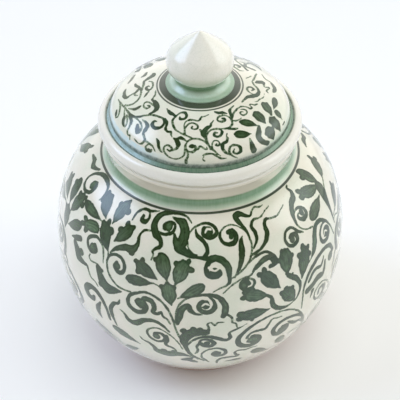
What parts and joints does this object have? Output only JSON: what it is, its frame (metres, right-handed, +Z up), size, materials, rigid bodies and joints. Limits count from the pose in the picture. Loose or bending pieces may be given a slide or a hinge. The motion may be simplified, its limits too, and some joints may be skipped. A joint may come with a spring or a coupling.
{
  "type": "ginger jar",
  "caption": "Globular glazed stoneware storage jar with a short neck, a domed drop-in lid and a pointed onion knob, painted with foliate scrolls.",
  "frame": {"origin": "centre of the foot ring, on the surface that the jar stands on", "axes": "+Z up along the axis that every piece is turned about; X and Y are horizontal, and the scroll panel that faces -Y is the front"},
  "size_m": [0.14, 0.14, 0.1715],
  "materials": {
    "celadon_glaze": "glossy pale celadon glaze, deep green where it pools",
    "underglaze_green": "glossy dark green brushwork under the glaze"
  },
  "bodies": {
    "jar": {"jar_body": "celadon_glaze"},
    "lid": {"lid": "celadon_glaze", "lid_knob": "celadon_glaze"}
  },
  "joints": [
    {"name": "lid_lift", "type": "slide", "parent": "jar", "child": "lid", "axis": [0, 0, 1], "range_m": [0, 0.06]}
  ]
}
